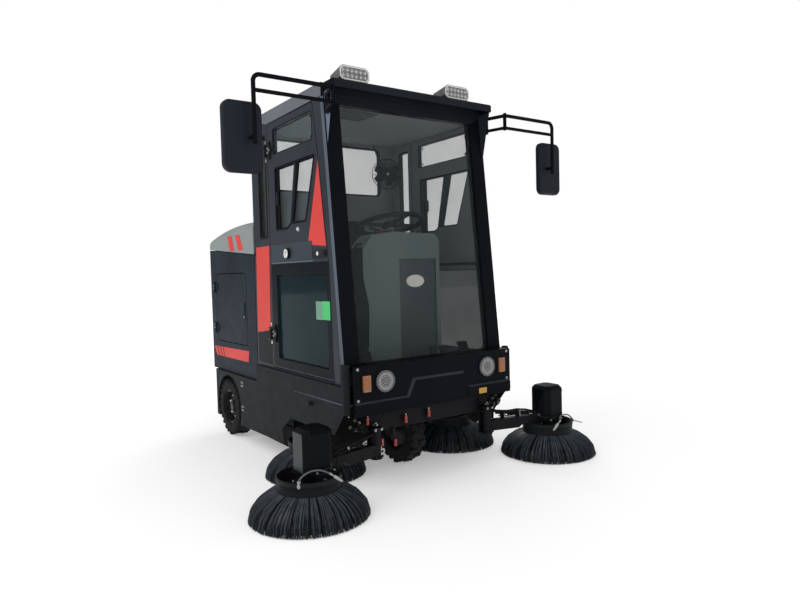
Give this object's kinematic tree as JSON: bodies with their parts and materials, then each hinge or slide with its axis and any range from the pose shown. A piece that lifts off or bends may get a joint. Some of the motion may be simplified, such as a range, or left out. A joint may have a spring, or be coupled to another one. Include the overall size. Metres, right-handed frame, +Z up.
{
  "type": "ride-on street sweeper with an enclosed cab",
  "caption": "Ride-on street sweeper with a glazed cab, side brushes on arms, a steered front wheel and a lidded rear body.",
  "frame": {"origin": "middle of the bounding box, on the ground", "axes": "+X to the machine's left, +Y to the rear, +Z up; the front faces -Y"},
  "size_m": [2.148, 2.29, 2.13],
  "materials": {
    "frame_paint": "satin black",
    "skirt_paint": "satin charcoal",
    "black_paint": "satin black",
    "lamp_glass": "clear moulded",
    "amber": "gloss amber",
    "cab_paint": "satin charcoal",
    "headlining": "grey felt",
    "floor_mat": "matt",
    "tinted_glass": "tinted",
    "console_plastic": "fine grain",
    "black_plastic": "fine grain",
    "seat_vinyl": "grained vinyl",
    "mirror": "polished",
    "chrome": "polished",
    "body_paint": "satin charcoal",
    "red_lens": "gloss red",
    "hood_paint": "satin grey",
    "iron": "painted casting",
    "rubber": "matt",
    "bristle": "bristles",
    "tyre": "matt",
    "rim_paint": "satin black"
  },
  "bodies": {
    "chassis": {"frame_rails": "frame_paint", "frame_crossmembers": "frame_paint", "brush_brackets": "frame_paint", "side_skirts": "skirt_paint", "front_bumper": "black_paint", "headlights": "lamp_glass", "marker_lamps": "amber", "cab_front_frame": "cab_paint", "cab_sides": "cab_paint", "cab_rear_wall": "cab_paint", "cab_floor": "floor_mat", "cab_headliner": "headlining", "roof_panel": "black_paint", "cab_glass": "tinted_glass", "dash_console": "console_plastic", "seat_base": "black_plastic", "seat_cushions": "seat_vinyl", "mirror_arms": "black_paint", "mirror_heads": "black_plastic", "mirror_faces": "mirror", "roof_lamps": "chrome", "rear_body_sides": "body_paint", "rear_body_ends": "body_paint", "rear_body_floor": "frame_paint", "battery_pack": "black_plastic", "rear_lamps": "red_lens", "rear_axle": "iron", "roller_housing": "frame_paint", "rubber_flaps": "rubber"},
    "steering_wheel": {"steering_wheel": "black_plastic"},
    "rear_hood": {"rear_hood": "hood_paint"},
    "main_roller": {"main_roller": "bristle"},
    "steer_fork": {"steer_fork": "frame_paint"},
    "front_wheel": {"front_tyre": "tyre", "front_rim": "rim_paint"},
    "rear_wheel_left": {"rear_tyre_left": "tyre", "rear_rim_left": "rim_paint"},
    "front_arm_left": {"front_arm_left": "black_plastic"},
    "inner_arm_left": {"inner_arm_left": "black_plastic"},
    "front_brush_left": {"front_brush_left": "bristle"},
    "inner_brush_left": {"inner_brush_left": "bristle"},
    "cab_door_left": {"cab_door_left": "cab_paint", "door_glass_left": "tinted_glass"},
    "access_door_left": {"access_door_left": "body_paint"},
    "rear_wheel_right": {"rear_tyre_right": "tyre", "rear_rim_right": "rim_paint"},
    "front_arm_right": {"front_arm_right": "black_plastic"},
    "inner_arm_right": {"inner_arm_right": "black_plastic"},
    "front_brush_right": {"front_brush_right": "bristle"},
    "inner_brush_right": {"inner_brush_right": "bristle"},
    "cab_door_right": {"cab_door_right": "cab_paint", "door_glass_right": "tinted_glass"},
    "access_door_right": {"access_door_right": "body_paint"}
  },
  "joints": [
    {"name": "steer", "type": "hinge", "parent": "chassis", "child": "steer_fork", "pos_m": [0, -0.469, 0.4], "axis": [0, 0, 1], "range_deg": [-50, 50]},
    {"name": "front_wheel_spin", "type": "hinge", "parent": "steer_fork", "child": "front_wheel", "pos_m": [0, -0.469, 0.19], "axis": [1, 0, 0], "continuous": true},
    {"name": "steering_wheel_turn", "type": "hinge", "parent": "chassis", "child": "steering_wheel", "pos_m": [0, -0.416, 1.356], "axis": [0, 0.225, 0.9744], "range_deg": [-175, 175]},
    {"name": "hood_lift", "type": "hinge", "parent": "chassis", "child": "rear_hood", "pos_m": [0, 1.127, 1.262], "axis": [-1, 0, 0], "range_deg": [0, 60]},
    {"name": "main_roller_spin", "type": "hinge", "parent": "chassis", "child": "main_roller", "pos_m": [0, 0.28, 0.165], "axis": [1, 0, 0], "continuous": true},
    {"name": "rear_wheel_spin_left", "type": "hinge", "parent": "chassis", "child": "rear_wheel_left", "pos_m": [0.496, 0.78, 0.195], "axis": [1, 0, 0], "continuous": true},
    {"name": "front_arm_swing_left", "type": "hinge", "parent": "chassis", "child": "front_arm_left", "pos_m": [0.372, -0.795, 0.24], "axis": [0, 0, -1], "range_deg": [0, 40]},
    {"name": "front_brush_spin_left", "type": "hinge", "parent": "front_arm_left", "child": "front_brush_left", "pos_m": [0.783, -0.87, 0.16], "axis": [0, 0, 1], "continuous": true},
    {"name": "inner_arm_lift_left", "type": "hinge", "parent": "chassis", "child": "inner_arm_left", "pos_m": [0.475, -0.04, 0.33], "axis": [-1, 0, 0], "range_deg": [0, 8]},
    {"name": "inner_brush_spin_left", "type": "hinge", "parent": "inner_arm_left", "child": "inner_brush_left", "pos_m": [0.475, -0.338, 0.16], "axis": [0, 0, 1], "continuous": true},
    {"name": "cab_door_swing_left", "type": "hinge", "parent": "chassis", "child": "cab_door_left", "pos_m": [0.5437, 0.048, 1.27], "axis": [0, 0, 1], "range_deg": [0, 75]},
    {"name": "access_door_swing_left", "type": "hinge", "parent": "chassis", "child": "access_door_left", "pos_m": [0.5397, 1.022, 0.868], "axis": [0, 0, 1], "range_deg": [0, 100]},
    {"name": "rear_wheel_spin_right", "type": "hinge", "parent": "chassis", "child": "rear_wheel_right", "pos_m": [-0.496, 0.78, 0.195], "axis": [1, 0, 0], "continuous": true},
    {"name": "front_arm_swing_right", "type": "hinge", "parent": "chassis", "child": "front_arm_right", "pos_m": [-0.372, -0.795, 0.24], "axis": [0, 0, 1], "range_deg": [0, 40]},
    {"name": "front_brush_spin_right", "type": "hinge", "parent": "front_arm_right", "child": "front_brush_right", "pos_m": [-0.783, -0.87, 0.16], "axis": [0, 0, 1], "continuous": true},
    {"name": "inner_arm_lift_right", "type": "hinge", "parent": "chassis", "child": "inner_arm_right", "pos_m": [-0.475, -0.04, 0.33], "axis": [-1, 0, 0], "range_deg": [0, 8]},
    {"name": "inner_brush_spin_right", "type": "hinge", "parent": "inner_arm_right", "child": "inner_brush_right", "pos_m": [-0.475, -0.338, 0.16], "axis": [0, 0, 1], "continuous": true},
    {"name": "cab_door_swing_right", "type": "hinge", "parent": "chassis", "child": "cab_door_right", "pos_m": [-0.5437, 0.048, 1.27], "axis": [0, 0, -1], "range_deg": [0, 75]},
    {"name": "access_door_swing_right", "type": "hinge", "parent": "chassis", "child": "access_door_right", "pos_m": [-0.5397, 1.022, 0.868], "axis": [0, 0, -1], "range_deg": [0, 100]}
  ]
}
